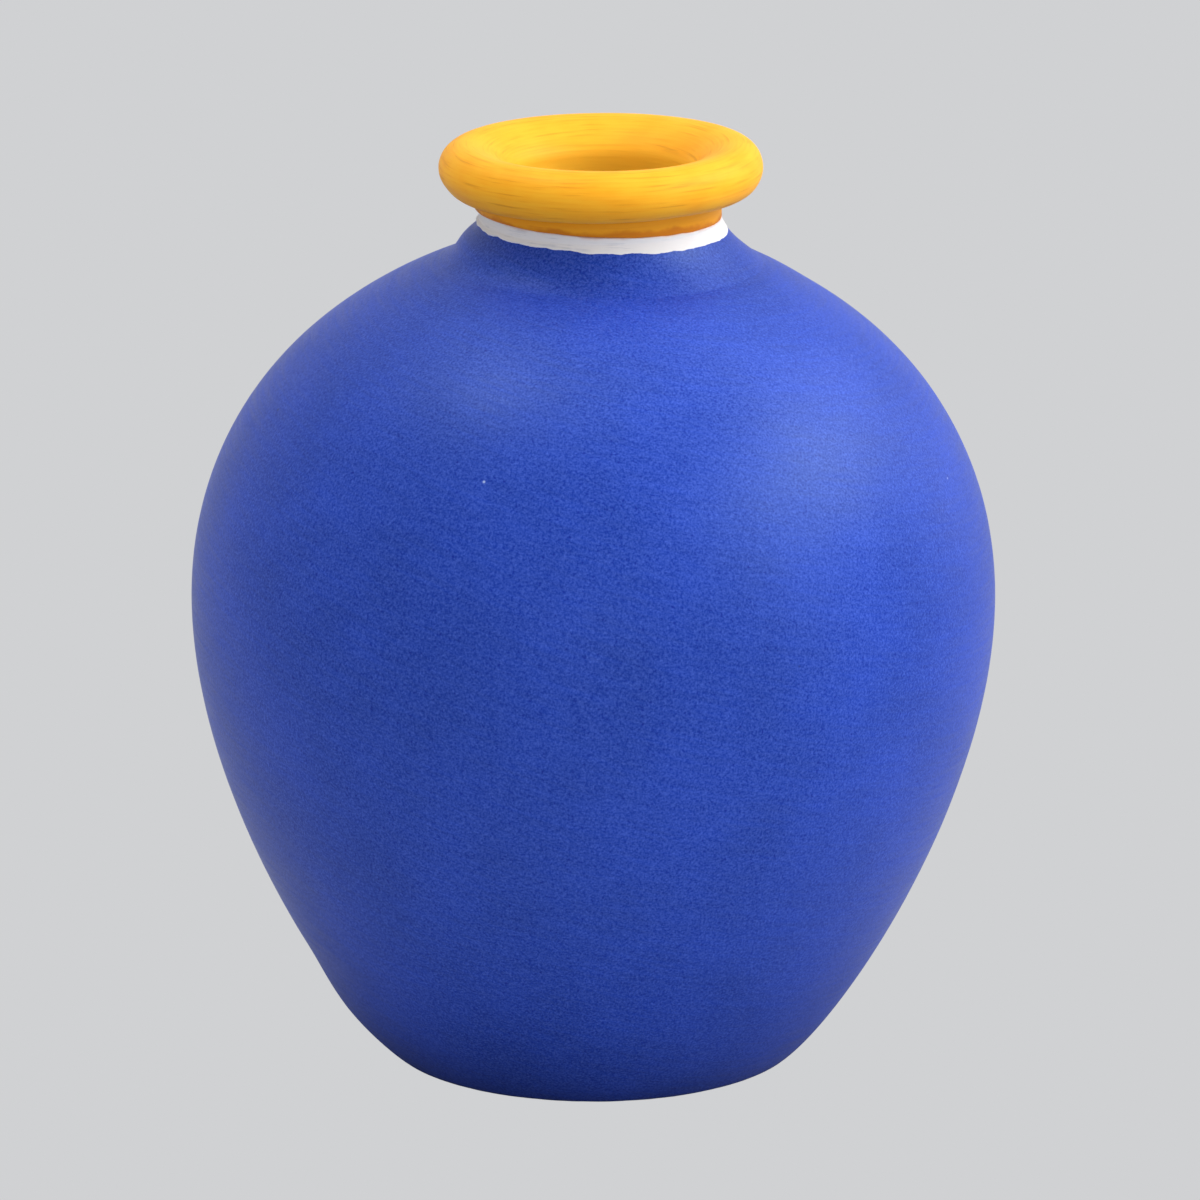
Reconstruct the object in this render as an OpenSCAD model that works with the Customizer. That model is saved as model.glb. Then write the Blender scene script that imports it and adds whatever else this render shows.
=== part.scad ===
// Painted terracotta water jar: a round-bellied body on a small flat foot, a short neck
// set a little off the body's axis, and a thick rolled rim. Millimetres, +Z up, with the
// origin on the floor under the centre of the body.
//
// The fired clay is drawn in the stages in which a potter makes and joins it: a floor slab,
// two thrown halves of the body that meet at the belly, a neck collar and a rolled rim.
// Over it lie three coats of paint: blue on the body, a white band, and yellow on the rim.

/* [Body] */
// Radius of the clay at its widest
belly_r = 129.1; // [120:0.1:140]
// Height of the widest place, where the two thrown halves meet
belly_z = 151.2; // [135:0.1:165]
// How far the curve of the belly pulls down below its widest place
belly_drop = 64.5; // [50:0.5:75]
// How far the curve of the belly pulls up above its widest place
belly_rise = 31; // [20:0.5:45]
// Thickness of the thrown wall
wall_t = 7; // [5:0.1:8]

/* [Foot] */
// Radius of the flat that the jar stands on
foot_r = 62; // [50:0.5:72]
// Radius of the rounded edge of the foot
foot_round = 8; // [4:0.5:12]
// Angle above the floor at which the wall leaves the foot
foot_lean = 40.5; // [32:0.5:50]
// How far the wall runs out in that direction before it turns up
foot_reach = 21; // [10:0.5:35]
// Thickness of the floor slab
base_t = 9; // [6:0.5:14]

/* [Shoulder] */
// Radius at which the curve of the shoulder ends in the plain slope under the neck
shoulder_r = 52; // [50:0.5:58]
// Height of the shoulder there
shoulder_z = 260.3; // [250:0.1:275]
// Fall of the shoulder there, in degrees below level
shoulder_slope = 22.9; // [18:0.1:27]
// How far the shoulder runs out in that direction before it turns down
shoulder_reach = 70.5; // [55:0.5:80]
// Radius of the hole under the neck
hole_r = 34; // [31:0.5:36]

/* [Neck] */
// How far the neck and rim stand off the axis of the body, towards +X
neck_shift = 2.4; // [0:0.1:3]
// Radius of the neck outside
neck_r = 38; // [37:0.1:40]
// Radius of the skirt's foot, on the slope of the shoulder
skirt_r = 46.9; // [44:0.1:48.5]
// Height of the skirt's top above the end of the shoulder's curve
skirt_h = 15.5; // [12:0.1:17]
// How far below its top, as a share of its height, the skirt bends out from the neck
skirt_bend = 0.2; // [0.1:0.05:0.5]
// Radius of the clay in the throat
throat_r = 28.4; // [24:0.1:30]
// Length of the straight throat, below the edge of the rim's inner slope
throat_len = 13.5; // [10:0.5:15]

/* [Rim] */
// How far the middle of the roll stands outside the neck
roll_out = 5.2; // [3.5:0.1:6.5]
// Height of the middle of the roll above the end of the shoulder's curve
rim_rise = 31.8; // [29:0.1:34]
// Width of the clay roll
roll_w = 16.1; // [14:0.1:18]
// Height of the clay roll
roll_h = 15; // [13:0.1:17]
// Depth, below the rim's top, of the edge where its inner slope meets the throat
slope_drop = 9; // [7:0.1:10]
// Steepness of the inner slope at that edge, in degrees
slope_lean = 60; // [45:1:75]
// How far the inner slope runs up in that direction before it turns level
slope_reach = 8; // [5:0.5:9]
// How far the top of the rim runs level towards the mouth
crest_run = 2; // [1:0.2:4]

/* [Paint] */
// Thickness of the blue and the yellow coat
coat_t = 0.4; // [0.3:0.05:0.6]
// Thickness of the white band
band_t = 0.6; // [0.4:0.05:0.9]
// Height of the white band's lower edge above the end of the shoulder's curve
band_rise = 12.1; // [10:0.1:13]
// Width of the white band, up and down
band_w = 5.6; // [4:0.1:6.5]
// Height above the floor at which the blue coat starts
coat_clear = 0.8; // [0.5:0.1:2]
// How far above the lower end of the throat the yellow coat stops
lining_short = 1.5; // [0.5:0.1:6]

/* [Joints] */
// Height of the ridge that keys the upper half into the lower half
key_h = 2; // [1:0.1:3]
// Share of the wall, on each side of the ridge, that is left flat
key_land = 0.2; // [0.1:0.05:0.35]

/* [Hidden] */
$fn = 96;
arc_steps = 8;        // points along a short arc
curve_steps = 28;     // points along each long curve of the body
roll_steps = 24;      // points round the outer half of the roll
grip = 1;             // a cutting body reaches this far past what it cuts

slope_tan = tan(shoulder_slope);
seat_in = hole_r - neck_shift - grip;      // the plain slope runs in to here, inside the hole
rim_r = neck_r + roll_out;                 // radius of the middle of the roll
rim_z = shoulder_z + rim_rise;
rim_top = rim_z + roll_h / 2;
throat_edge = rim_top - slope_drop;        // height of the edge of the inner slope
// The flat seat of the rim is where the underside of the roll runs into the neck
rim_seat = rim_z - roll_h / 2 * sqrt(1 - pow(2 * roll_out / roll_w, 2));
band_low = shoulder_z + band_rise;
band_top = band_low + band_w;
throat_low = throat_edge - throat_len;
lining_low = throat_low + lining_short;
far = 2 * belly_r;                         // wider than anything here

// Height of the plain slope of the shoulder at radius r
function slope_z(r) = shoulder_z + (shoulder_r - r) * slope_tan;

function curve3(a, b, c, d, steps) = [for (i = [0 : steps]) let (t = i / steps, u = 1 - t)
    u * u * u * a + 3 * u * u * t * b + 3 * u * t * t * c + t * t * t * d];
function curve2(a, b, c, steps) = [for (i = [0 : steps]) let (t = i / steps, u = 1 - t)
    u * u * a + 2 * u * t * b + t * t * c];
function tail(path) = [for (i = [1 : len(path) - 1]) path[i]];
function reversed(path) = [for (i = [len(path) - 1 : -1 : 0]) path[i]];

// A path that climbs with the outside on its right, moved outwards by d
function moved_out(path, d) = [for (i = [0 : len(path) - 1])
    let (run = path[min(i + 1, len(path) - 1)] - path[max(i - 1, 0)])
    path[i] + d / norm(run) * [run[1], -run[0]]];

// The clay outside, as radius and height: foot edge, lower curve, upper curve, plain slope
foot_edge = [for (i = [0 : arc_steps]) let (a = foot_lean * i / arc_steps)
    [foot_r + foot_round * sin(a), foot_round * (1 - cos(a))]];
foot_end = foot_edge[arc_steps];
belly = [belly_r, belly_z];
shoulder_end = [shoulder_r, shoulder_z];
lower_curve = curve3(foot_end, foot_end + foot_reach * [cos(foot_lean), sin(foot_lean)],
                     belly - [0, belly_drop], belly, curve_steps);
upper_curve = curve3(belly, belly + [0, belly_rise],
                     shoulder_end + shoulder_reach * [cos(shoulder_slope), -sin(shoulder_slope)],
                     shoulder_end, curve_steps);
lower_out = concat(foot_edge, tail(lower_curve));
upper_out = concat(upper_curve, [[seat_in, slope_z(seat_in)]]);
body_out = concat(lower_out, tail(upper_out));

// The clay outside of the neck, from where its skirt is sunk in the shoulder to its flat top
skirt_foot = [skirt_r, slope_z(skirt_r)];
neck_foot = [neck_r, shoulder_z + skirt_h];
skirt_knee = [neck_foot[0], neck_foot[1] - skirt_bend * (neck_foot[1] - skirt_foot[1])];
skirt_run = (skirt_foot - skirt_knee) / norm(skirt_foot - skirt_knee);
skirt_sunk = skirt_foot + (2 * neck_shift + 2 * grip) * skirt_run;
neck_out = concat([skirt_sunk], curve2(skirt_foot, skirt_knee, neck_foot, arc_steps),
                  [[neck_r, rim_seat]]);
flare_foot = slope_z(hole_r);
throat_flare = curve2([hole_r, flare_foot], [hole_r, (flare_foot + throat_low) / 2],
                      [throat_r, throat_low], arc_steps);

// The outside of the rim from the throat over the top to the neck, grown by a coat of paint
function rim_out(grow) =
    let (edge = [throat_r - grow, throat_edge], crest = [rim_r, rim_top + grow],
         half_w = roll_w / 2 + grow, half_h = roll_h / 2 + grow,
         fall = acos((neck_r + grow - rim_r) / half_w))
    concat(curve3(edge, edge + slope_reach * [cos(slope_lean), sin(slope_lean)],
                  crest - [crest_run, 0], crest, arc_steps),
           [for (i = [1 : roll_steps]) let (a = 90 - (90 + fall) * i / roll_steps)
               [rim_r + half_w * cos(a), rim_z + half_h * sin(a)]]);

// Keyed joint of the two halves of the body: a low ridge of the upper half, as it runs from
// the outside to the inside, stands in a groove of the lower half
key_line = [
    [belly_r - wall_t * key_land, belly_z],
    [belly_r - wall_t / 2, belly_z - key_h],
    [belly_r - wall_t * (1 - key_land), belly_z],
    [belly_r - wall_t, belly_z]];

// A path closed to the axis, as a filled half section
module filled(path) {
    polygon(concat([[0, path[0][1]]], path, [[0, path[len(path) - 1][1]]]));
}

module between(low, high) {
    translate([0, low]) square([far, high - low]);
}

module on_neck_axis() {
    translate([neck_shift, 0, 0]) rotate_extrude() children();
}

module rim_section() {
    polygon(concat([[throat_r, rim_seat]], rim_out(0)));
}

module neck_section() {
    polygon(concat(neck_out, [[throat_r, rim_seat]], reversed(throat_flare),
                   [[hole_r, skirt_sunk[1]]]));
}

// Floor slab of the foot, cut from a rolled sheet; the wall is luted onto its edge
module base_disc() {
    color("#b5653f") rotate_extrude() intersection() {
        filled(lower_out);
        between(0, base_t);
    }
}

// Lower half of the body, thrown as a bowl
module lower_wall() {
    inside = moved_out(lower_out, -wall_t);
    color("#bd6c45") rotate_extrude() difference() {
        polygon(concat(lower_out, key_line, tail(reversed(inside))));
        between(-grip, base_t);
    }
}

// Upper half of the body, thrown separately and turned over onto the lower half
module upper_wall() {
    inside = moved_out(upper_out, -wall_t);
    color("#c4744b") difference() {
        rotate_extrude() polygon(concat(upper_out, reversed(tail(inside)), reversed(key_line)));
        translate([neck_shift, 0, belly_z]) cylinder(r = hole_r, h = rim_top - belly_z);
    }
}

module body_fill() {
    rotate_extrude() filled(body_out);
}

// Short neck with a spreading skirt, set onto the slope of the shoulder
module neck_collar() {
    color("#b96a42") difference() {
        on_neck_axis() neck_section();
        body_fill();
    }
}

// Thick roll of clay round the mouth, with a slope inside that ends at the throat
module rim_ring() {
    color("#c06f47") on_neck_axis() rim_section();
}

// Blue paint on the body and the skirt, up to the white band
module blue_coat() {
    color("#2f4cb3") difference() {
        union() {
            rotate_extrude() difference() {
                filled(moved_out(body_out, coat_t));
                between(-grip, coat_clear);
            }
            on_neck_axis() intersection() {
                filled(moved_out(neck_out, coat_t));
                between(0, band_low);
            }
        }
        body_fill();
        on_neck_axis() filled(neck_out);
    }
}

// White painted band round the foot of the neck
module white_band() {
    color("#efeef0") on_neck_axis() difference() {
        intersection() {
            filled(moved_out(neck_out, band_t));
            between(band_low, band_top);
        }
        filled(neck_out);
    }
}

// Yellow paint on the neck above the band, over the rim and down into the throat
module yellow_coat() {
    inside_wall = (throat_r + neck_r) / 2;
    color("#fcc02f") on_neck_axis() difference() {
        polygon(concat([[throat_r - coat_t, lining_low]], rim_out(coat_t),
                       [[neck_r + coat_t, band_top], [inside_wall, band_top],
                        [inside_wall, lining_low]]));
        rim_section();
        neck_section();
    }
}

base_disc();
lower_wall();
upper_wall();
neck_collar();
rim_ring();
blue_coat();
white_band();
yellow_coat();
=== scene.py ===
# %% [markdown]
# # A painted terracotta water jar
#
# The jar is thrown clay with three coats of brushed paint: blue on the body, a white band
# at the neck and yellow round the rim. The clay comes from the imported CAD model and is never
# moved. What Blender adds is the hand work: coats of paint with brushed edges and ridges,
# finger marks in the clay inside, and the materials and light.

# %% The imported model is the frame
import math

import bpy
import numpy as np
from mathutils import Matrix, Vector


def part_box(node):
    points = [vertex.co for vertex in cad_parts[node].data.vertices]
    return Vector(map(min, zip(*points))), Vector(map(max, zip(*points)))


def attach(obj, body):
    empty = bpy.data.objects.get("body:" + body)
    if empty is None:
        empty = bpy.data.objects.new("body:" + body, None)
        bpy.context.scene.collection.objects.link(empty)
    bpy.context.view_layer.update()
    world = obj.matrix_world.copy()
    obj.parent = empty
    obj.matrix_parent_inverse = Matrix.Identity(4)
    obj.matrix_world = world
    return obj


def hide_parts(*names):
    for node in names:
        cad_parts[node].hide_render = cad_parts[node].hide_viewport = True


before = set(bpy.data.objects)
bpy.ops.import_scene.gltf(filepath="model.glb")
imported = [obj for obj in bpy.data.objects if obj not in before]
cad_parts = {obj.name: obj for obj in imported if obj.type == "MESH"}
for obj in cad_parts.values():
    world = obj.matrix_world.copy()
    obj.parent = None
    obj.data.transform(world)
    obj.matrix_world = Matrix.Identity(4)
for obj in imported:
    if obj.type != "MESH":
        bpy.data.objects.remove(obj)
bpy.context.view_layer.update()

MM = 0.001
print("CAD nodes:", ", ".join(sorted(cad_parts)))

# %% [markdown]
# ## The camera
#
# A long lens from 2.5 m away, tilted 16 degrees down, gives the flat ellipses of the
# photograph. A camera could be placed by eye. Here its place follows from the point it looks
# at, the tilt and the distance, so each can be changed without losing the others.

# %% Camera
CAMERA_TILT = math.radians(15.69)
CAMERA_DISTANCE = 2.5
FOCAL_LENGTH, SENSOR_WIDTH = 232.3, 36
LOOKS_AT = Vector((2.15, 0, 149)) * MM

lens = bpy.data.cameras.new("long_lens")
lens.lens = FOCAL_LENGTH
lens.sensor_width = SENSOR_WIDTH
lens.clip_end = 100
camera = bpy.data.objects.new("camera", lens)
bpy.context.scene.collection.objects.link(camera)
back_off = Vector((0, -math.cos(CAMERA_TILT), math.sin(CAMERA_TILT)))
camera.location = LOOKS_AT + back_off * CAMERA_DISTANCE
camera.rotation_euler = (math.pi / 2 - CAMERA_TILT, 0, 0)
bpy.context.scene.camera = camera
print("camera stands at", [round(v, 3) for v in camera.location])

# %% [markdown]
# ## Two helpers for node trees
#
# Materials and Geometry Nodes are both made of nodes. One function adds a node with its
# settings and links, whatever its kind. A second turns a written colour, such as #d0d1d3,
# into the linear numbers that Blender wants.

# %% Helpers
MATH, VECTOR, NOISE = "ShaderNodeMath", "ShaderNodeVectorMath", "ShaderNodeTexNoise"
MIX, RANGE = "ShaderNodeMix", "ShaderNodeMapRange"


def add(tree, kind, inputs=(), **settings):
    """Add a node. Inputs, by place or by name, are values, sockets or nodes."""
    node = tree.nodes.new(kind)
    for name, value in settings.items():
        setattr(node, name, value)
    named = inputs.items() if isinstance(inputs, dict) else enumerate(inputs)
    for key, value in named:
        if isinstance(value, bpy.types.Node):
            value = next(out for out in value.outputs if out.enabled)
        if isinstance(value, bpy.types.NodeSocket):
            tree.links.new(value, node.inputs[key])
        elif value is not None:
            node.inputs[key].default_value = value
    return node


def linear(hex_colour):
    """An sRGB hex colour as linear red, green, blue and alpha."""
    parts = [int(hex_colour[i:i + 2], 16) / 255 for i in (1, 3, 5)]
    return (*[p / 12.92 if p <= 0.04045 else ((p + 0.055) / 1.055) ** 2.4 for p in parts], 1)


# %% [markdown]
# ## Sizes of the clay
#
# The paint lies on the clay, so its outline starts from the clay's. Radii and heights that
# the frame can give are read from it. The handles of the long curves are named here in
# millimetres, as a potter's template would have them.

# %% Sizes
body_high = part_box("lower_wall")[1]
rim_low, rim_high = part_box("rim_ring")
band_box_low, band_box_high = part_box("white_band")

NECK_SHIFT = (rim_low.x + rim_high.x) / 2 / MM
BELLY_R = body_high.x / MM
RIM_TOP = rim_high.z / MM
BAND_LOW, BAND_HIGH = band_box_low.z / MM, band_box_high.z / MM
COAT_T, BAND_T = 0.4, 0.6

BELLY_Z, BELLY_DROP, BELLY_RISE = 151.2, 64.5, 31.0
FOOT_R, FOOT_ROUND, FOOT_LEAN, FOOT_REACH = 62.0, 8.0, math.radians(40.5), 21.0
SHOULDER_R, SHOULDER_Z = 52.0, 260.3
SHOULDER_SLOPE, SHOULDER_REACH, SHOULDER_BOW = math.radians(22.9), 70.5, 0.0038
NECK_R, SKIRT_R, SKIRT_TOP, SKIRT_KNEE = 38.0, 46.9, 275.8, 0.2
ROLL_W, ROLL_H, ROLL_OUT, ROLL_Z = 16.1, 15.0, 5.2, 292.1
THROAT_R, THROAT_EDGE, THROAT_LOW = 28.4, 290.6, 277.1
SLOPE_LEAN, SLOPE_REACH, CREST_RUN = math.radians(60), 8.0, 2.0
print(f"belly {BELLY_R:.1f} mm, rim top {RIM_TOP:.1f} mm, neck shift {NECK_SHIFT:.1f} mm")

# %% [markdown]
# ## Outlines
#
# A coat of paint follows the half outline of the clay, written as radius and height. Bezier
# curves with a handful of handles give it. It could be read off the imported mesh, point by
# point, but then no number would mean anything. It runs upwards with the outside on its right,
# so that the spun faces point outwards.

# %% Outlines of the clay


def bezier(*handles, steps=60):
    """Points of a Bezier curve with any number of handles."""
    t = np.linspace(0, 1, steps + 1)[:, None]
    n = len(handles) - 1
    return sum(math.comb(n, i) * (1 - t) ** (n - i) * t ** i * np.array(h)
               for i, h in enumerate(handles))


def along(start, angle, length):
    """The handle that lies a length from the start, in the direction of the angle."""
    return (start[0] + length * math.cos(angle), start[1] + length * math.sin(angle))


def slope_z(radius):
    """Height of the plain slope of the shoulder, which bows down beyond its own radius."""
    beyond = np.maximum(radius - SHOULDER_R, 0)
    return (SHOULDER_Z + (SHOULDER_R - radius) * math.tan(SHOULDER_SLOPE)
            - SHOULDER_BOW * beyond ** 2)


turn = np.linspace(0, FOOT_LEAN, 9)
foot_edge = np.stack([FOOT_R + FOOT_ROUND * np.sin(turn), FOOT_ROUND * (1 - np.cos(turn))], 1)
belly, shoulder = (BELLY_R, BELLY_Z), (SHOULDER_R, SHOULDER_Z)
lower_curve = bezier(foot_edge[-1], along(foot_edge[-1], FOOT_LEAN, FOOT_REACH),
                     (BELLY_R, BELLY_Z - BELLY_DROP), belly, steps=120)
upper_curve = bezier(belly, (BELLY_R, BELLY_Z + BELLY_RISE),
                     along(shoulder, -SHOULDER_SLOPE, SHOULDER_REACH), shoulder, steps=120)

skirt_foot = np.array((SKIRT_R, slope_z(SKIRT_R)))
knee = np.array((NECK_R, SKIRT_TOP - SKIRT_KNEE * (SKIRT_TOP - skirt_foot[1])))
skirt = bezier(skirt_foot, knee, (NECK_R, SKIRT_TOP), steps=30)

roll_turn = np.linspace(math.acos(-ROLL_OUT / (ROLL_W / 2)), 0, 60)
roll = np.stack([NECK_R + ROLL_OUT + ROLL_W / 2 * np.cos(-roll_turn),
                 ROLL_Z - ROLL_H / 2 * np.sin(roll_turn)], 1)
roll_over = np.linspace(0, math.pi / 2, 40)[1:]
roll_top = np.stack([NECK_R + ROLL_OUT + ROLL_W / 2 * np.cos(roll_over),
                     ROLL_Z + ROLL_H / 2 * np.sin(roll_over)], 1)
edge, crest = (THROAT_R, THROAT_EDGE), (NECK_R + ROLL_OUT, RIM_TOP)
inner_slope = bezier(edge, along(edge, SLOPE_LEAN, SLOPE_REACH),
                     (crest[0] - CREST_RUN, crest[1]), crest)
print(f"{len(lower_curve) + len(upper_curve)} points on the belly, {len(roll)} under the roll")

# %% [markdown]
# ## Outline objects
#
# Geometry Nodes can read an outline from a mesh of points and edges. A flat outline leaves
# its Y coordinate free, so Y carries something useful: how far each point follows the neck's
# own axis, from 0 on the body to 1 on the neck. The neck stands 2.4 mm beside the body.
#
# Between the two the body's outline dips under the shoulder. The saddle, where body and neck
# share the surface, reaches from SADDLE_OUT to SADDLE_IN.

# %% Outline objects


def runs(points):
    """Length along an outline at each of its points."""
    return np.r_[0, np.cumsum(np.linalg.norm(np.diff(points, axis=0), axis=1))]


def joined(*parts):
    """One outline from several, without doubled points."""
    points = np.concatenate([np.atleast_2d(part) for part in parts])
    return points[np.r_[True, np.diff(runs(points)) > 1e-6]]


def softened(points, reach, step=0.2):
    """The outline with its corners rounded, as wet clay has them."""
    run = runs(points)
    even = np.linspace(0, run[-1], int(run[-1] / step) + 1)
    rows = np.stack([np.interp(even, run, column) for column in points.T], 1)
    span = int(3 * reach / step)
    weight = np.exp(-0.5 * (np.arange(-span, span + 1) * step / reach) ** 2)
    rows = np.pad(rows, ((span, span), (0, 0)), mode="reflect", reflect_type="odd")
    return np.stack([np.convolve(column, weight / weight.sum(), "valid")
                     for column in rows.T], 1)


def run_at(points, height, last=False):
    """Length along the outline where it first, or last, passes a height."""
    side = points[:, 1] > height
    places = np.nonzero(side[1:] != side[:-1])[0]
    i = places[-1 if last else 0]
    share = (height - points[i, 1]) / (points[i + 1, 1] - points[i, 1])
    run = runs(points)
    return float(run[i] + share * (run[i + 1] - run[i])) * MM


def outline_object(name, points, follow):
    """A polyline in X and Z; Y says how far it follows the neck's axis."""
    mesh = bpy.data.meshes.new(name)
    mesh.from_pydata([(r * MM, follow(r, z) * MM, z * MM) for r, z in points],
                     [(i, i + 1) for i in range(len(points) - 1)], [])
    made = bpy.data.objects.new(name, mesh)
    bpy.context.scene.collection.objects.link(made)
    print(f"{name}: {len(points)} points, {runs(points)[-1]:.1f} mm long")
    return made


def eased(share):
    """0 to 1 with a soft start and a soft end."""
    return share * share * (3 - 2 * share)


SADDLE_OUT, SADDLE_IN = 56.0, 50.0
CREASE_FROM, CREASE_IN, SUNK = 2, 6.0, 9.0
SOFT_CORNER, UNDER_STEP = 1.5, 0.3
body_part = joined(foot_edge, lower_curve, upper_curve)
body_part = body_part[body_part[:, 0] > SADDLE_OUT]
steep = (skirt_foot - knee) / np.linalg.norm(skirt_foot - knee)
r_under = np.arange(SADDLE_OUT - 0.1, SKIRT_R, -UNDER_STEP)
into = np.clip((SADDLE_OUT - r_under) / CREASE_IN, 0, 1)
under = np.stack([r_under, np.maximum(
    skirt_foot[1] + (r_under - SKIRT_R) * steep[1] / steep[0],
    slope_z(r_under) - SUNK * eased(into))], 1)
body_outline = joined(body_part, under, skirt)
# The neck's outline ends 5 mm above the skirt, and the rim's starts on the skirt's upper part
neck_outline = joined(skirt, (NECK_R, SKIRT_TOP + 5))
rim_outline = softened(joined(skirt[-12:], roll, roll_top, inner_slope[::-1],
                              (THROAT_R, THROAT_LOW - 1)), SOFT_CORNER)


def follow_body(r, z):
    """How far a point of the body's outline follows the neck: only above the belly."""
    return eased(np.clip((SADDLE_OUT - r) / (SADDLE_OUT - SADDLE_IN), 0, 1)) if z > BELLY_Z else 0


# %% [markdown]
# ## One rule for all three coats
#
# Each coat could be a copied and thickened mesh. A rule is shorter and keeps every size
# adjustable: a grid is wrapped round the jar, each of its rows takes its place on the
# outline, and the skin is pushed out by the paint's thickness. The same tree makes all three
# coats with different inputs, which are listed here with their usual values.

# %% Inputs of the rule
# Lengths are in metres, as everything in the tree is; angles are in radians. A hair comes off
# the saddle's radius, so that the row of points at it still counts as body.
HAIR = 1e-7
SADDLE_FALL = math.tan(SHOULDER_SLOPE) + 2 * SHOULDER_BOW * (SADDLE_OUT - SHOULDER_R)
COAT_INPUTS = {
    "Steps round": 256, "Rows": 260, "Inner rows": 40, "Seed": 0.0,
    "From": 0.0, "To": 0.01, "Lower wander": 0.0, "Upper wander": 0.0, "Lumps": 6.0,
    "Lower tilt": 0.0, "Upper tilt": 0.0,
    "Thickness": COAT_T * MM, "Inset": -0.05 * MM, "Edge round": 0.6 * MM,
    "Ridge height": 0.0, "Ridge pitch": 0.8 * MM, "Ridge draw": 2.5,
    "Hand height": 0.0, "Hand scale": 20.0,
    "Neck shift": NECK_SHIFT * MM, "Saddle radius": float(body_part[-1][0]) * MM - HAIR,
    "Shoulder radius": SHOULDER_R * MM, "Shoulder height": SHOULDER_Z * MM,
    "Shoulder fall": math.tan(SHOULDER_SLOPE), "Shoulder bow": SHOULDER_BOW / MM,
    "Skin on cone": math.hypot(1, SADDLE_FALL), "Skirt radius": SKIRT_R * MM,
    "Saddle lean": math.sin(math.atan(SADDLE_FALL)), "Skirt lean": float(-steep[1]),
    "Crease": 7.0 * MM,
}
SWELLS = ("Swell", "Bulge", "Lump")
for which in SWELLS:
    COAT_INPUTS |= {which + " height": 0.0, which + " towards": 0.0, which + " focus": 4.0,
                    which + " at": 0.0, which + " reach": 0.01}
print(len(COAT_INPUTS), "inputs")

# %% [markdown]
# ## Two skins
#
# The outer skin is a fine grid. A second, coarser grid closes it against the clay, so that the
# coat is a solid sheet. Solidify could do that, but it would repeat every fine face where
# nobody sees it. Both grids are one unit wide, and every later step works on both at once. An
# attribute says which is which.

# %% Sockets and grids


def empty_tree():
    """A node group with an input for each size. Returns it and what its inputs give."""
    tree = bpy.data.node_groups.new("coat_of_paint", "GeometryNodeTree")
    tree.interface.new_socket("Geometry", in_out="OUTPUT", socket_type="NodeSocketGeometry")
    tree.interface.new_socket("Geometry", in_out="INPUT", socket_type="NodeSocketGeometry")
    kinds = {int: "NodeSocketInt", float: "NodeSocketFloat"}
    for name, value in COAT_INPUTS.items():
        socket = tree.interface.new_socket(name, in_out="INPUT",
                                           socket_type=kinds[type(value)])
        socket.default_value = value
    tree.interface.new_socket("Paint", in_out="INPUT", socket_type="NodeSocketMaterial")
    return tree, add(tree, "NodeGroupInput").outputs


def two_skins(tree, given):
    """The outer grid and the inner one, turned round, and the mark of the inner."""
    across = add(tree, MATH, (given["Steps round"], 1), operation="ADD")
    outer = add(tree, "GeometryNodeMeshGrid", (1, 1, across, given["Rows"]))
    inner = add(tree, "GeometryNodeMeshGrid", (1, 1, across, given["Inner rows"]))
    inner = add(tree, "GeometryNodeFlipFaces", (inner,))
    inner = add(tree, "GeometryNodeStoreNamedAttribute",
                {"Geometry": inner, "Name": "inside", "Value": 1.0})
    both = tree.nodes.new("GeometryNodeJoinGeometry")
    tree.links.new(inner.outputs[0], both.inputs[0])
    tree.links.new(outer.outputs[0], both.inputs[0])
    return both, add(tree, "GeometryNodeInputNamedAttribute", ("inside",)).outputs[0]


# %% [markdown]
# ## Edges that wander
#
# Nobody brushes a straight line round a jar. Noise round the ring moves the lower and the
# upper end of the skin. A tilt lowers both towards +X and lifts them opposite, as a hand does
# that drops while the jar turns. Just before each end the paint thins out to nothing. A mask
# could hide a straight edge instead, but the step in the paint would be missing.

# %% Edges


def ends_of_skin(tree, given, cosine, ring):
    """The two lengths along the outline between which the skin lies."""
    ends = []
    for end, wander, tilt, shift in (("From", "Lower wander", "Lower tilt", 3.0),
                                     ("To", "Upper wander", "Upper tilt", 11.0)):
        moved = add(tree, VECTOR, (ring, (0, 0, shift)), operation="ADD")
        noise = add(tree, NOISE, {"Vector": moved, "Scale": given["Lumps"],
                                  "Detail": 3.0, "Roughness": 0.6})
        swing = add(tree, MATH, (noise, 0.5), operation="SUBTRACT")
        swung = add(tree, MATH, (swing, given[wander], given[end]), operation="MULTIPLY_ADD")
        leant = add(tree, MATH, (cosine, given[tilt]), operation="MULTIPLY")
        ends.append(add(tree, MATH, (swung, leant), operation="SUBTRACT"))
    return ends


def fullness(tree, given, length, ends):
    """1 on the whole skin, rounding down to 0 at its ends."""
    from_low = add(tree, MATH, (length, ends[0]), operation="SUBTRACT")
    from_high = add(tree, MATH, (ends[1], length), operation="SUBTRACT")
    nearest = add(tree, MATH, (from_low, from_high), operation="MINIMUM")
    near = add(tree, RANGE, (nearest, 0, given["Edge round"], 1, 0))
    near = add(tree, MATH, (near, 3), operation="POWER")
    return add(tree, MATH, (1, near), operation="SUBTRACT")


# %% [markdown]
# ## The cove under the neck
#
# Neck and shoulder turn about different axes, and on the jar they run into each other in a
# soft cove. So the shoulder is written a second time, as a plain slope about the body's own
# axis. The outline dips under that slope near the neck. The skin takes the higher of the two,
# and the crease between them is filled in more and more towards the neck. A union with a bevel
# could make the cove too, but it would cut the even rows of the skin.

# %% Slope and cove


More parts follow.
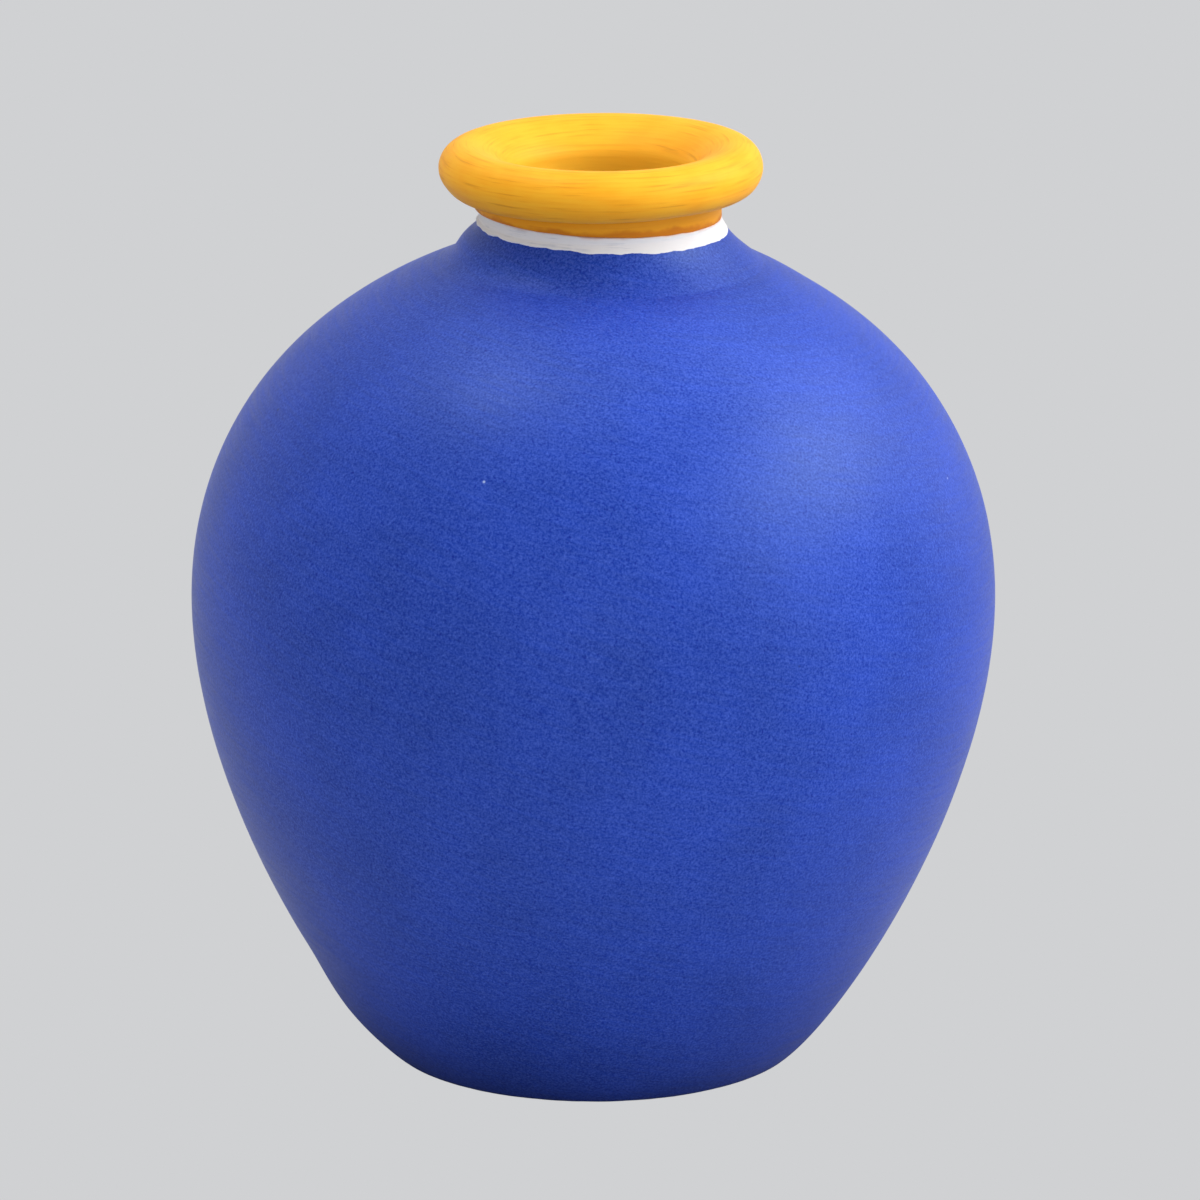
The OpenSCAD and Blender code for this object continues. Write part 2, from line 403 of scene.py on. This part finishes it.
def plain_slope(tree, given, radius):
    """Height of the shoulder's plain slope at a radius, bow and all."""
    out_by = add(tree, MATH, (given["Shoulder radius"], radius), operation="SUBTRACT")
    cone = add(tree, MATH, (out_by, given["Shoulder fall"], given["Shoulder height"]),
               operation="MULTIPLY_ADD")
    beyond = add(tree, MATH, (add(tree, MATH, (out_by, 0), operation="MINIMUM"), 2),
                 operation="POWER")
    bow = add(tree, MATH, (beyond, given["Shoulder bow"]), operation="MULTIPLY")
    return add(tree, MATH, (cone, bow), operation="SUBTRACT")


def on_the_form(tree, given, point, tangent):
    """Points that dip under the slope count as lying on it: their height and their lean."""
    near_neck = add(tree, MATH, (point[0], given["Saddle radius"]), operation="LESS_THAN")
    form = add(tree, MATH, (point[2], plain_slope(tree, given, point[0])),
               operation="MAXIMUM")
    form = add(tree, MIX, (near_neck, None, point[2], form))
    dipped = add(tree, MATH, (point[2], form), operation="LESS_THAN")
    lean = add(tree, RANGE, (point[0], given["Skirt radius"], given["Saddle radius"],
                             given["Skirt lean"], given["Saddle lean"]))
    return near_neck, form, add(tree, MIX, (dipped, None, tangent[2], lean))


def with_cove(tree, given, height, skin, from_axis, point, near_neck):
    """The higher of skin and slope, with the crease between them filled."""
    cone = add(tree, MATH, (skin, given["Skin on cone"], plain_slope(tree, given, from_axis)),
               operation="MULTIPLY_ADD")
    into = add(tree, MATH, (given["Saddle radius"], point[0]), operation="SUBTRACT")
    crease = add(tree, RANGE, (into, CREASE_FROM * MM, (CREASE_FROM + CREASE_IN) * MM,
                               0, given["Crease"]), interpolation_type="SMOOTHSTEP")
    saddle = add(tree, MATH, (height, cone, crease), operation="SMOOTH_MAX")
    return add(tree, MIX, (near_neck, None, height, saddle))


# %% [markdown]
# ## Bristles and hand
#
# Three kinds of unevenness make the skin thicker or thinner. Ridges run with the bristles,
# long one way and short the other. Soft swells of a few centimetres come from throwing by
# hand. Three bigger swells can be set on purpose, each towards one side and at one height,
# where the real jar has more clay. Bump could fake them all, but the outline would stay smooth.

# %% Unevenness of the skin


def ridges(tree, given, ring, length):
    """Noise drawn out round the jar and packed across it."""
    drawn = add(tree, VECTOR, {0: ring, "Scale": given["Ridge draw"]}, operation="SCALE")
    packed = add(tree, MATH, (length, given["Ridge pitch"]), operation="DIVIDE")
    packed = add(tree, "ShaderNodeCombineXYZ", (0, 0, packed))
    bristle = add(tree, NOISE, {"Vector": add(tree, VECTOR, (drawn, packed), operation="ADD"),
                                "Scale": 1.0, "Detail": 2.0})
    bristle = add(tree, MATH, (bristle, 0.5), operation="SUBTRACT")
    return add(tree, MATH, (bristle, given["Ridge height"]), operation="MULTIPLY")


def hand_work(tree, given, radius, cosine, sine, form):
    """Soft swells, set to go outwards more than inwards, so that no clay shows through."""
    on_form = add(tree, "ShaderNodeCombineXYZ", (
        add(tree, MATH, (radius, cosine), operation="MULTIPLY"),
        add(tree, MATH, (radius, sine), operation="MULTIPLY"), form))
    hand = add(tree, NOISE, {"Vector": on_form, "Scale": given["Hand scale"], "Detail": 2.0})
    hand = add(tree, MATH, (hand, 0.35), operation="SUBTRACT")
    return add(tree, MATH, (hand, given["Hand height"]), operation="MULTIPLY")


def with_swells(tree, given, angle, form, skin):
    """The skin's thickness with the three set swells added."""
    for which in SWELLS:
        aside = add(tree, MATH, (angle, given[which + " towards"]), operation="SUBTRACT")
        aside = add(tree, MATH, (add(tree, MATH, (aside,), operation="COSINE"), 0),
                    operation="MAXIMUM")
        aside = add(tree, MATH, (aside, given[which + " focus"]), operation="POWER")
        off = add(tree, MATH, (form, given[which + " at"]), operation="SUBTRACT")
        off = add(tree, MATH, (off,), operation="ABSOLUTE")
        level = add(tree, RANGE, (off, 0, given[which + " reach"], 1, 0),
                    interpolation_type="SMOOTHSTEP")
        raised = add(tree, MATH, (aside, level), operation="MULTIPLY")
        skin = add(tree, MATH, (raised, given[which + " height"], skin),
                   operation="MULTIPLY_ADD")
    return skin


# %% [markdown]
# ## The whole tree
#
# A point of the flat grid has an angle round the jar and a share of the way up. From these
# follow its place on the outline, its thickness of paint and at last its place in space. The
# materials need two facts that only the tree knows, so it stores them: the way the brush went,
# and the place between the edges.

# %% The tree of a coat of paint
# Points of the two skins that lie closer than this, in millimetres, become one
WELD = 0.002


def coat_tree():
    """The Geometry Nodes tree that makes a coat from an outline."""
    tree, given = empty_tree()
    both, inside = two_skins(tree, given)

    # The flat grid gives the angle and the share, both from 0 up
    place = add(tree, "ShaderNodeSeparateXYZ", (add(tree, "GeometryNodeInputPosition"),))
    angle = add(tree, MATH, (place.outputs[0], 0.5), operation="ADD")
    angle = add(tree, MATH, (angle, math.tau), operation="MULTIPLY")
    share = add(tree, MATH, (place.outputs[1], 0.5), operation="ADD")
    cosine = add(tree, MATH, (angle,), operation="COSINE")
    sine = add(tree, MATH, (angle,), operation="SINE")
    ring = add(tree, "ShaderNodeCombineXYZ", (cosine, sine, given["Seed"]))

    # The place on the outline, and the way the outline runs there
    ends = ends_of_skin(tree, given, cosine, ring)
    length = add(tree, RANGE, (share, 0, 1, *ends), clamp=False)
    on_curve = add(tree, "GeometryNodeSampleCurve",
                   {"Curves": add(tree, "GeometryNodeMeshToCurve", (given["Geometry"],)),
                    "Length": length}, mode="LENGTH")
    point = add(tree, "ShaderNodeSeparateXYZ", (on_curve.outputs["Position"],)).outputs
    tangent = add(tree, "ShaderNodeSeparateXYZ", (on_curve.outputs["Tangent"],)).outputs
    near_neck, form, lean = on_the_form(tree, given, point, tangent)

    # Thickness of the outer skin; the inner face lies a little inside the clay
    full = fullness(tree, given, length, ends)
    skin = add(tree, MATH, (given["Thickness"], ridges(tree, given, ring, length)),
               operation="ADD")
    skin = add(tree, MATH, (skin, hand_work(tree, given, point[0], cosine, sine, form)),
               operation="ADD")
    skin = with_swells(tree, given, angle, form, skin)
    skin = add(tree, MATH, (skin, full), operation="MULTIPLY")
    hidden = add(tree, MATH, (full, given["Inset"]), operation="MULTIPLY")
    skin = add(tree, MIX, (inside, None, skin, hidden))

    # Pushed out square to the outline, then wrapped round the shifted axis
    radius = add(tree, MATH, (lean, skin, point[0]), operation="MULTIPLY_ADD")
    drop = add(tree, MATH, (tangent[0], skin), operation="MULTIPLY")
    height = add(tree, MATH, (point[2], drop), operation="SUBTRACT")
    shift = add(tree, MATH, (point[1], given["Neck shift"]), operation="MULTIPLY")
    shift = add(tree, MATH, (shift, MM), operation="DIVIDE")
    x = add(tree, MATH, (cosine, radius, shift), operation="MULTIPLY_ADD")
    y = add(tree, MATH, (sine, radius), operation="MULTIPLY")
    flat = add(tree, "ShaderNodeCombineXYZ", (x, y, 0))
    from_axis = add(tree, VECTOR, (flat,), operation="LENGTH").outputs["Value"]
    height = with_cove(tree, given, height, skin, from_axis, point, near_neck)

    # What the materials read is stored while the grid is still flat
    brush = add(tree, "ShaderNodeCombineXYZ", (
        add(tree, MATH, (radius, cosine), operation="MULTIPLY"),
        add(tree, MATH, (radius, sine), operation="MULTIPLY"), length))
    for name, kind, value in (("brush", "FLOAT_VECTOR", brush), ("across", "FLOAT", share)):
        both = add(tree, "GeometryNodeStoreNamedAttribute",
                   {"Geometry": both, "Name": name, "Value": value}, data_type=kind)
    placed = add(tree, "GeometryNodeSetPosition",
                 {"Geometry": both,
                  "Position": add(tree, "ShaderNodeCombineXYZ", (x, y, height))})
    welded = add(tree, "GeometryNodeMergeByDistance", {"Geometry": placed,
                                                       "Distance": WELD * MM})
    smooth = add(tree, "GeometryNodeSetShadeSmooth", (welded,))
    whole = add(tree, "GeometryNodeRealizeInstances", (smooth,))
    painted = add(tree, "GeometryNodeSetMaterial",
                  {"Geometry": whole, "Material": given["Paint"]})
    add(tree, "NodeGroupOutput", (painted,))
    return tree


paint_rule = coat_tree()
print("the tree of a coat has", len(paint_rule.nodes), "nodes")

# %% [markdown]
# ## From the rule to a plain mesh
#
# The modifier's inputs are set by their identifiers before the object is first evaluated.
# The evaluated result is then copied as a plain mesh and the modifier goes, so that later
# steps and other programs see ordinary faces.

# %% Evaluate a coat


def swell(which, height, towards, focus, at, reach):
    """The five inputs of a swell, from millimetres and degrees round from +X."""
    return {which + " height": height * MM, which + " towards": math.radians(towards),
            which + " focus": focus, which + " at": at * MM, which + " reach": reach * MM}


def paint_coat(name, outline, paint, **sizes):
    """A coat of paint as a plain mesh. Sizes are inputs of the tree, by name."""
    modifier = outline.modifiers.new("coat", "NODES")
    modifier.node_group = paint_rule
    for item in paint_rule.interface.items_tree:
        if item.in_out == "INPUT" and item.name in sizes:
            modifier[item.identifier] = sizes[item.name]
        elif item.in_out == "INPUT" and item.name == "Paint":
            modifier[item.identifier] = paint
    bpy.context.view_layer.update()
    seen = outline.evaluated_get(bpy.context.evaluated_depsgraph_get())
    mesh = bpy.data.meshes.new_from_object(seen)
    bpy.data.objects.remove(outline)
    mesh.name = name
    coat = bpy.data.objects.new(name, mesh)
    bpy.context.scene.collection.objects.link(coat)
    faces = sum(len(p.vertices) - 2 for p in mesh.polygons)
    print(f"{name}: {faces} triangles")
    return coat


# %% [markdown]
# ## Low-fired terracotta
#
# Bare clay shows under the foot, inside and low in the throat. It is unglazed, so it is fully
# rough, and orange-brown with paler and darker grains of temper. Thrown clay keeps soft rings
# from the fingers. They could be modelled, but they are so low that a bump shows them as well.
# Object coordinates carry the pattern, because the clay is one solid mass.

# %% Terracotta


def new_material(name):
    """An empty node material, and its tree."""
    material = bpy.data.materials.new(name)
    material.use_nodes = True
    material.node_tree.nodes.clear()
    return material, material.node_tree


def per(size_mm):
    """Noise scale for a pattern of that size in millimetres."""
    return 1 / (size_mm * MM)


terracotta, t = new_material("unglazed_terracotta")
spot = add(t, "ShaderNodeTexCoord").outputs["Object"]
cloud = add(t, NOISE, {"Vector": spot, "Scale": per(45), "Detail": 3.0})
temper = add(t, NOISE, {"Vector": spot, "Scale": per(1.6), "Detail": 4.0, "Roughness": 0.7})
clay = add(t, MIX, {0: cloud, 6: linear("#a9603c"), 7: linear("#c67c52")}, data_type="RGBA")
grains = add(t, RANGE, (temper, 0.62, 0.72, 0, 0.5))
clay = add(t, MIX, {0: grains, 6: clay, 7: linear("#dba27a")}, data_type="RGBA")
dark = add(t, RANGE, (temper, 0.36, 0.26, 0, 0.6))
clay = add(t, MIX, {0: dark, 6: clay, 7: linear("#70402c")}, data_type="RGBA")
# The wave turns one radian in this many millimetres, so its rings lie 35 mm apart. It counts
# 20 radians to a unit of its scale.
RING_RADIAN, WAVE_RADIANS = 5.5, 20
rings = add(t, "ShaderNodeTexWave", {"Vector": spot, "Scale": per(RING_RADIAN) / WAVE_RADIANS,
                                     "Distortion": 1.5, "Detail": 2.0}, bands_direction="Z")
relief = add(t, MATH, (rings, 0.35, temper), operation="MULTIPLY_ADD")
bump = add(t, "ShaderNodeBump", {"Height": relief, "Strength": 0.6, "Distance": 0.3 * MM})
shader = add(t, "ShaderNodeBsdfPrincipled", {"Base Color": clay, "Roughness": 0.92,
                                             "Normal": bump})
add(t, "ShaderNodeOutputMaterial", (shader,))

for name in ("base_disc", "lower_wall", "upper_wall", "neck_collar", "rim_ring"):
    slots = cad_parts[name].data.materials
    slots.clear()
    slots.append(terracotta)
print("terracotta on five clay nodes")

# %% [markdown]
# ## Blue paint
#
# A chalk-filled emulsion, brushed on in two thin coats. Chalk makes it matt, with a broad
# pale sheen where light strikes flat, and leaves a fine pale grain under half a millimetre.
# Where brush strokes overlap the blue is a touch deeper. The specks could be painted in a
# texture. Noise of the right size gives the same look at any distance, without a file.

# %% Brush lines


def brush_way(tree):
    """What the coat's tree stored: X and Y round the jar, and the length up the outline."""
    stored = add(tree, "ShaderNodeAttribute", attribute_name="brush").outputs["Vector"]
    return add(tree, "ShaderNodeSeparateXYZ", (stored,)).outputs


def bristle_lines(tree, way, drawn, pitch, detail):
    """Noise drawn out round the jar and packed across it, by lengths in millimetres."""
    place = add(tree, "ShaderNodeCombineXYZ", (
        add(tree, MATH, (way[0], per(drawn)), operation="MULTIPLY"),
        add(tree, MATH, (way[1], per(drawn)), operation="MULTIPLY"),
        add(tree, MATH, (way[2], per(pitch)), operation="MULTIPLY")))
    return add(tree, NOISE, {"Vector": place, "Scale": 1.0, "Detail": detail})


# %% Blue paint
BLUE_DEEP, BLUE_LIGHT, BLUE_ROUGH = "#2140a7", "#2545b3", 0.42
# What a grain of chalk adds to the linear colour, and the darkest that a pit gets
CHALK, PIT = (0.12, 0.19, 0.54), (0.002, 0.004, 0.02)
BLUE_SHEEN = (0.7, 0.95, 1.0, 1)
blue_paint, t = new_material("chalky_blue_emulsion")
spot = add(t, "ShaderNodeTexCoord").outputs["Object"]
way = brush_way(t)
# Strokes are about 24 mm long and 1.4 mm apart, and climb to the right
climb = add(t, MATH, (way[0], 0.3, way[2]), operation="MULTIPLY_ADD")
strokes = bristle_lines(t, (way[0], way[1], climb), drawn=24, pitch=1.4, detail=2.0)
laps = add(t, NOISE, {"Vector": spot, "Scale": per(38), "Detail": 3.0, "Roughness": 0.55})
# The grain of chalk is about 0.4 mm, drawn at 0.75 mm so that it shows
grain = add(t, NOISE, {"Vector": spot, "Scale": per(0.75), "Detail": 2.0, "Roughness": 0.7})
depth = add(t, RANGE, (laps, 0.35, 0.65, 0, 1))
paint = add(t, MIX, {0: depth, 6: linear(BLUE_DEEP), 7: linear(BLUE_LIGHT)}, data_type="RGBA")
streak = add(t, RANGE, (strokes, 0.3, 0.7, 0.93, 1.07))
paint = add(t, VECTOR, {0: paint, "Scale": streak}, operation="SCALE")
# A grain of chalk is paler and greyer than the blue, and the pits between grains darker
pale = add(t, MATH, (grain, 0.5), operation="SUBTRACT")
pale = add(t, VECTOR, {0: CHALK, "Scale": pale}, operation="SCALE")
paint = add(t, VECTOR, (paint, pale), operation="ADD")
paint = add(t, VECTOR, (paint, PIT), operation="MAXIMUM")
# Flecks of white and of dark pigment that the brush left, about 1 mm across
for cell, size, colour in ((38, 0.6, "#a9bae6"), (34, 0.7, "#1b2a66")):
    near = add(t, "ShaderNodeTexVoronoi", {"Vector": spot, "Scale": per(cell)})
    bit = add(t, RANGE, (near.outputs["Distance"], size / cell, 0.5 * size / cell, 0, 0.8))
    paint = add(t, MIX, {0: bit, 6: paint, 7: linear(colour)}, data_type="RGBA")
matt = add(t, RANGE, (strokes, 0.3, 0.7, BLUE_ROUGH - 0.04, BLUE_ROUGH + 0.04))
relief = add(t, MATH, (strokes, 0.6, grain), operation="MULTIPLY_ADD")
bump = add(t, "ShaderNodeBump", {"Height": relief, "Strength": 0.5, "Distance": 0.05 * MM})
shader = add(t, "ShaderNodeBsdfPrincipled", {"Base Color": paint, "Roughness": matt,
                                             "Specular IOR Level": 0.3, "Normal": bump,
                                             "Specular Tint": BLUE_SHEEN})
add(t, "ShaderNodeOutputMaterial", (shader,))
print(f"{blue_paint.name}: {len(t.nodes)} nodes")

# %% [markdown]
# ## White paint
#
# The same emulsion in white, laid on thickly with a small flat brush in one pull round the
# neck. It shows faint grey-blue lines where bristles let the blue through, and a warm stain
# at its upper edge, where wet yellow ran into it. The stain could be a ring at a fixed height,
# but the edge wanders. So it follows the place between the edges, which the coat's tree stored.

# %% White paint
white_paint, t = new_material("brushed_white_emulsion")
spot = add(t, "ShaderNodeTexCoord").outputs["Object"]
way = brush_way(t)
up = add(t, "ShaderNodeAttribute", attribute_name="across").outputs["Fac"]
lines = bristle_lines(t, way, drawn=14, pitch=0.7, detail=3.0)
patch = add(t, NOISE, {"Vector": spot, "Scale": per(9), "Detail": 3.0})
thin = add(t, MATH, (lines, patch), operation="MULTIPLY")
thin = add(t, RANGE, (thin, 0.3, 0.42, 0, 0.75))
paint = add(t, MIX, {0: thin, 6: linear("#e7e9ec"), 7: linear("#c4cad6")}, data_type="RGBA")
warm = add(t, MATH, (add(t, MATH, (patch, 0.5), operation="SUBTRACT"), 0.5, up),
           operation="MULTIPLY_ADD")
warm = add(t, RANGE, (warm, 0.8, 1.05, 0, 0.5), interpolation_type="SMOOTHSTEP")
paint = add(t, MIX, {0: warm, 6: paint, 7: linear("#e3ae8a")}, data_type="RGBA")
relief = add(t, MATH, (lines, patch), operation="ADD")
bump = add(t, "ShaderNodeBump", {"Height": relief, "Strength": 0.5, "Distance": 0.12 * MM})
shader = add(t, "ShaderNodeBsdfPrincipled", {"Base Color": paint, "Roughness": 0.8,
                                             "Specular IOR Level": 0.2, "Normal": bump})
add(t, "ShaderNodeOutputMaterial", (shader,))
print(f"{white_paint.name}: {len(t.nodes)} nodes")

# %% [markdown]
# ## Yellow paint
#
# A warm chrome-like yellow, brushed round and round the rim. It covers poorly, so the coat is
# bright where the brush left it thick, orange in the lines between bristles and orange at its
# lower edge, where the clay shows through. Under the roll it turns brown-orange, partly thin
# paint and partly painted shade, and inside the throat it is paler as painted light. A mask
# painted by hand could say where. Noise and the place between the edges say it by rule.

# %% Yellow paint
YELLOW_LIGHT, YELLOW_DEEP = "#ffb728", "#fdac1e"
yellow_paint, t = new_material("brushed_yellow_emulsion")
spot = add(t, "ShaderNodeTexCoord").outputs["Object"]
way = brush_way(t)
up = add(t, "ShaderNodeAttribute", attribute_name="across").outputs["Fac"]
lines = bristle_lines(t, way, drawn=17, pitch=0.75, detail=2.0)
patch = add(t, NOISE, {"Vector": spot, "Scale": per(11), "Detail": 3.0})
thin = add(t, MATH, (patch, 0.9, lines), operation="MULTIPLY_ADD")
thin = add(t, RANGE, (thin, 0.78, 1.15, 0, 1))
paint = add(t, MIX, {0: thin, 6: linear(YELLOW_LIGHT), 7: linear(YELLOW_DEEP)},
            data_type="RGBA")
# Single bristles scraped through to the brown of the clay
scraped = add(t, RANGE, (lines, 0.58, 0.74, 0, 0.45))
paint = add(t, MIX, {0: scraped, 6: paint, 7: linear("#cd861c")}, data_type="RGBA")
# Low on the coat, under the roll, the yellow turns brown-orange: partly thin paint over the clay,
# partly painted shade
low = add(t, MATH, (add(t, MATH, (patch, 0.5), operation="SUBTRACT"), 0.1, up),
          operation="MULTIPLY_ADD")
under = add(t, RANGE, (low, 0.24, 0.06, 0, 0.6), interpolation_type="SMOOTHSTEP")
paint = add(t, MIX, {0: under, 6: paint, 7: linear("#e29412")}, data_type="RGBA")
# Towards the throat the yellow is painted paler: painted light where the rim's inside lies in
# shade
throat_light = add(t, RANGE, (up, 0.74, 0.88, 0, 0.8), interpolation_type="SMOOTHSTEP")
paint = add(t, MIX, {0: throat_light, 6: paint, 7: linear("#ffc63a")}, data_type="RGBA")
rim_edge = add(t, RANGE, (low, 0.035, 0.008, 0, 0.8), interpolation_type="SMOOTHSTEP")
paint = add(t, MIX, {0: rim_edge, 6: paint, 7: linear("#c9700f")}, data_type="RGBA")
bump = add(t, "ShaderNodeBump", {"Height": lines, "Strength": 0.5, "Distance": 0.07 * MM})
shader = add(t, "ShaderNodeBsdfPrincipled", {"Base Color": paint, "Roughness": 0.5,
                                             "Specular IOR Level": 0.16, "Normal": bump})
add(t, "ShaderNodeOutputMaterial", (shader,))
print(f"{yellow_paint.name}: {len(t.nodes)} nodes")

# %% [markdown]
# ## The blue coat
#
# It covers the body from just above the floor to under the white band. A lathe would give a
# perfect round. The hand-thrown foot is fuller on its left, and the clay that joins neck and
# shoulder was smeared out on both sides, so the three swells are set to those places.

# %% Blue coat
# The paint starts this high over the floor, and ends this far above the band's lower edge
PAINT_LOW, UNDER_BAND = 0.9, 3
outline = outline_object("blue_outline", body_outline, follow_body)
blue_coat = paint_coat(
    "blue_paint_coat", outline, blue_paint,
    **{"From": run_at(body_outline, PAINT_LOW), "Lower wander": 1.0 * MM, "Lumps": 8.0,
       "To": run_at(body_outline, BAND_LOW + UNDER_BAND, last=True),
       "Edge round": 0.5 * MM, "Hand height": 0.3 * MM, "Hand scale": per(45)},
    **swell("Swell", height=1.4, towards=180, focus=3.0, at=18, reach=22),
    **swell("Bulge", height=1.6, towards=180, focus=2.0, at=268, reach=8),
    **swell("Lump", height=1.0, towards=0, focus=2.0, at=260, reach=12))
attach(blue_coat, "root")
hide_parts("blue_coat")

# %% [markdown]
# ## The white band
#
# A single thick pull of a small brush round the foot of the neck. The painter's hand dropped
# as it went, so the band sits lower on the right than on the left, and paint heaped up along
# its lower edge in small steps. A painted stripe in the texture would lie flat. As a coat of
# its own it stands proud of the blue and casts a thin shadow.

# %% White band
outline = outline_object("white_outline", neck_outline, lambda r, z: 1.0)
white_band = paint_coat(
    "white_paint_band", outline, white_paint,
    **{"Steps round": 512, "Rows": 40, "Inner rows": 12,
       "From": run_at(neck_outline, BAND_LOW), "To": run_at(neck_outline, BAND_HIGH),
       "Lower wander": 2.2 * MM, "Upper wander": 1.6 * MM, "Lumps": 5.0,
       "Lower tilt": 1.6 * MM, "Upper tilt": 1.6 * MM, "Thickness": BAND_T * MM,
       "Edge round": 0.7 * MM, "Ridge height": 0.12 * MM, "Ridge draw": 4.0, "Seed": 5.0},
    **swell("Swell", height=1.6, towards=180, focus=2.0, at=271, reach=7))
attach(white_band, "root")
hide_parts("white_band")

# %% [markdown]
# ## The yellow coat
#
# It runs from the top of the white band up the neck, round the roll and down into the throat,
# where it stops raggedly. The roll of clay was pressed on by hand, so it droops a little on
# its near left and stands a little higher on its far right. The same rule makes it, with the
# outline of the rim instead of the body's.

# %% Yellow coat
# It starts this far below the band's upper edge, and ends this far above the throat's end
OVER_BAND, THROAT_STOP, YELLOW_T = 0.3, 1.5, 0.5
outline = outline_object("yellow_outline", rim_outline, lambda r, z: 1.0)
yellow_coat = paint_coat(
    "yellow_paint_coat", outline, yellow_paint,
    **{"Rows": 300, "Inner rows": 40, "From": run_at(rim_outline, BAND_HIGH - OVER_BAND),
       "To": run_at(rim_outline, THROAT_LOW + THROAT_STOP, last=True),
       "Thickness": YELLOW_T * MM,
       "Lower wander": 0.8 * MM, "Upper wander": 2.0 * MM, "Lumps": 5.0,
       "Lower tilt": 1.6 * MM, "Ridge height": 0.06 * MM,
       "Hand height": 0.15 * MM, "Hand scale": per(20), "Seed": 9.0},
    **swell("Swell", height=2.2, towards=210, focus=0.6, at=281, reach=7),
    **swell("Bulge", height=0.45, towards=20, focus=2.0, at=299, reach=6),
    **swell("Lump", height=0.5, towards=0, focus=2.0, at=284.5, reach=5))
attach(yellow_coat, "root")
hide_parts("yellow_coat")

# %% [markdown]
# ## The floor
#
# The jar stands on a wide sheet of grey paper. A sheet lit like the jar would be simpler, but
# its grey would change with every lamp. So the camera sees it evenly grey, as the plain ground
# of a catalogue picture is. To all other light it is a matt sheet with a painted shadow, darker
# under the jar and lighter further out. Gloss sees that painted shadow near the jar as well.

# %% Floor
BACKDROP, FLOOR_HALF = linear("#d0d1d3"), 8
floor_mesh = bpy.data.meshes.new("studio_floor")
corners = [(x * FLOOR_HALF, y * FLOOR_HALF, 0) for x, y in ((-1, -1), (1, -1), (1, 1), (-1, 1))]
floor_mesh.from_pydata(corners, [], [(0, 1, 2, 3)])
floor = bpy.data.objects.new("studio_floor", floor_mesh)
# A hair below the foot, so that the two flat faces don't share a place
floor.location.z = -0.2 * MM
bpy.context.scene.collection.objects.link(floor)
paper, t = new_material("seamless_paper")
rays = add(t, "ShaderNodeLightPath").outputs
spot = add(t, "ShaderNodeNewGeometry").outputs["Position"]
far = add(t, VECTOR, (spot,), operation="LENGTH").outputs["Value"]
far = add(t, RANGE, (far, 0.05, 0.22, 0, 1), interpolation_type="SMOOTHSTEP")
# Painted shadow in reflections: near the jar gloss sees the darker sheet instead of the grey glow
mirrored = add(t, MATH, (rays["Is Glossy Ray"], far), operation="MULTIPLY")
seen = add(t, MATH, (rays["Is Camera Ray"], rays["Is Transmission Ray"]), operation="MAXIMUM")
seen = add(t, MATH, (seen, mirrored), operation="MAXIMUM")
# Painted shadow: the sheet is darker near the jar and lighter further out
shadowed_paper = add(t, MIX, {0: far, 6: (0.24, 0.24, 0.24, 1), 7: (0.6, 0.6, 0.6, 1)}, data_type="RGBA")
matt = add(t, "ShaderNodeBsdfDiffuse", {"Color": shadowed_paper})
glow = add(t, "ShaderNodeEmission", {"Color": BACKDROP, "Strength": 1.0})
add(t, "ShaderNodeOutputMaterial", (add(t, "ShaderNodeMixShader", (seen, matt, glow)),))
floor_mesh.materials.append(paper)
print(f"the floor is {2 * FLOOR_HALF} m wide")

# %% [markdown]
# ## The air of the studio
#
# Walls and ceiling of a bright room fill the shadows evenly. A picture of a room could do
# this, but an even glow needs no file and has no edges to reflect in the paint. The camera
# and the gloss see the same grey as the paper.

# %% World
world = bpy.data.worlds.new("studio_air")
world.use_nodes = True
bpy.context.scene.world = world
t = world.node_tree
t.nodes.clear()
rays = add(t, "ShaderNodeLightPath").outputs
seen = add(t, MATH, (rays["Is Camera Ray"], rays["Is Glossy Ray"]), operation="MAXIMUM")
seen = add(t, MATH, (seen, rays["Is Transmission Ray"]), operation="MAXIMUM")
AIR = 0.66
fill = add(t, "ShaderNodeBackground", {"Color": (1, 1, 1, 1), "Strength": AIR})
shown = add(t, "ShaderNodeBackground", {"Color": BACKDROP, "Strength": 1.0})
add(t, "ShaderNodeOutputWorld", (add(t, "ShaderNodeMixShader", (seen, fill, shown)),))
print("strength of the air:", AIR)

# %% [markdown]
# ## The lamps
#
# The paint shows where they are: two soft bright fields on the shoulder, one high on the left
# and one on the right, and a left side that falls off into deep blue. A wide soft source to
# the right of the camera does most of the work, so it is built from three discs side by side.
# Every lamp is given by its direction and its strength, which is easier to reason about than
# coordinates.

# %% Lamps
LAMPS = {
    # name: (azimuth from the front towards +X, height angle, size, watts)
    "key_right": (90, 35, 0.9, 10.1),
    "key_front": (60, 35, 0.9, 7.6),
    "key_back": (120, 35, 0.9, 3.4),
    "spot_right": (90, 45, 0.4, 2.5),
    "top": (0, 85, 0.9, 3.0),
    "top_left": (-90, 70, 0.4, 4.3),
    "high_right": (120, 60, 0.9, 2.9),
    "high_left": (-120, 60, 0.9, 1.8),
    "low_right": (60, 10, 0.9, 2.4),
    "low_back": (120, 10, 0.9, 1.2),
    "low_front": (0, 10, 0.9, 1.0),
}
LAMP_DISTANCE, LAMP_AIM = 1.8, Vector((0, 0, 0.15))


def lamp(name, azimuth, height, size, watts):
    """A round soft lamp that looks at the middle of the jar."""
    light = bpy.data.lights.new(name, "AREA")
    light.shape, light.size, light.energy = "DISK", size, watts
    made = bpy.data.objects.new(name, light)
    bpy.context.scene.collection.objects.link(made)
    a, h = math.radians(azimuth), math.radians(height)
    way = Vector((math.sin(a) * math.cos(h), -math.cos(a) * math.cos(h), math.sin(h)))
    made.location = LAMP_AIM + way * LAMP_DISTANCE
    made.rotation_euler = way.to_track_quat("Z", "Y").to_euler()


for name, values in LAMPS.items():
    lamp(name, *values)
bpy.context.scene.view_settings.view_transform = "Standard"
print(len(LAMPS), "lamps")
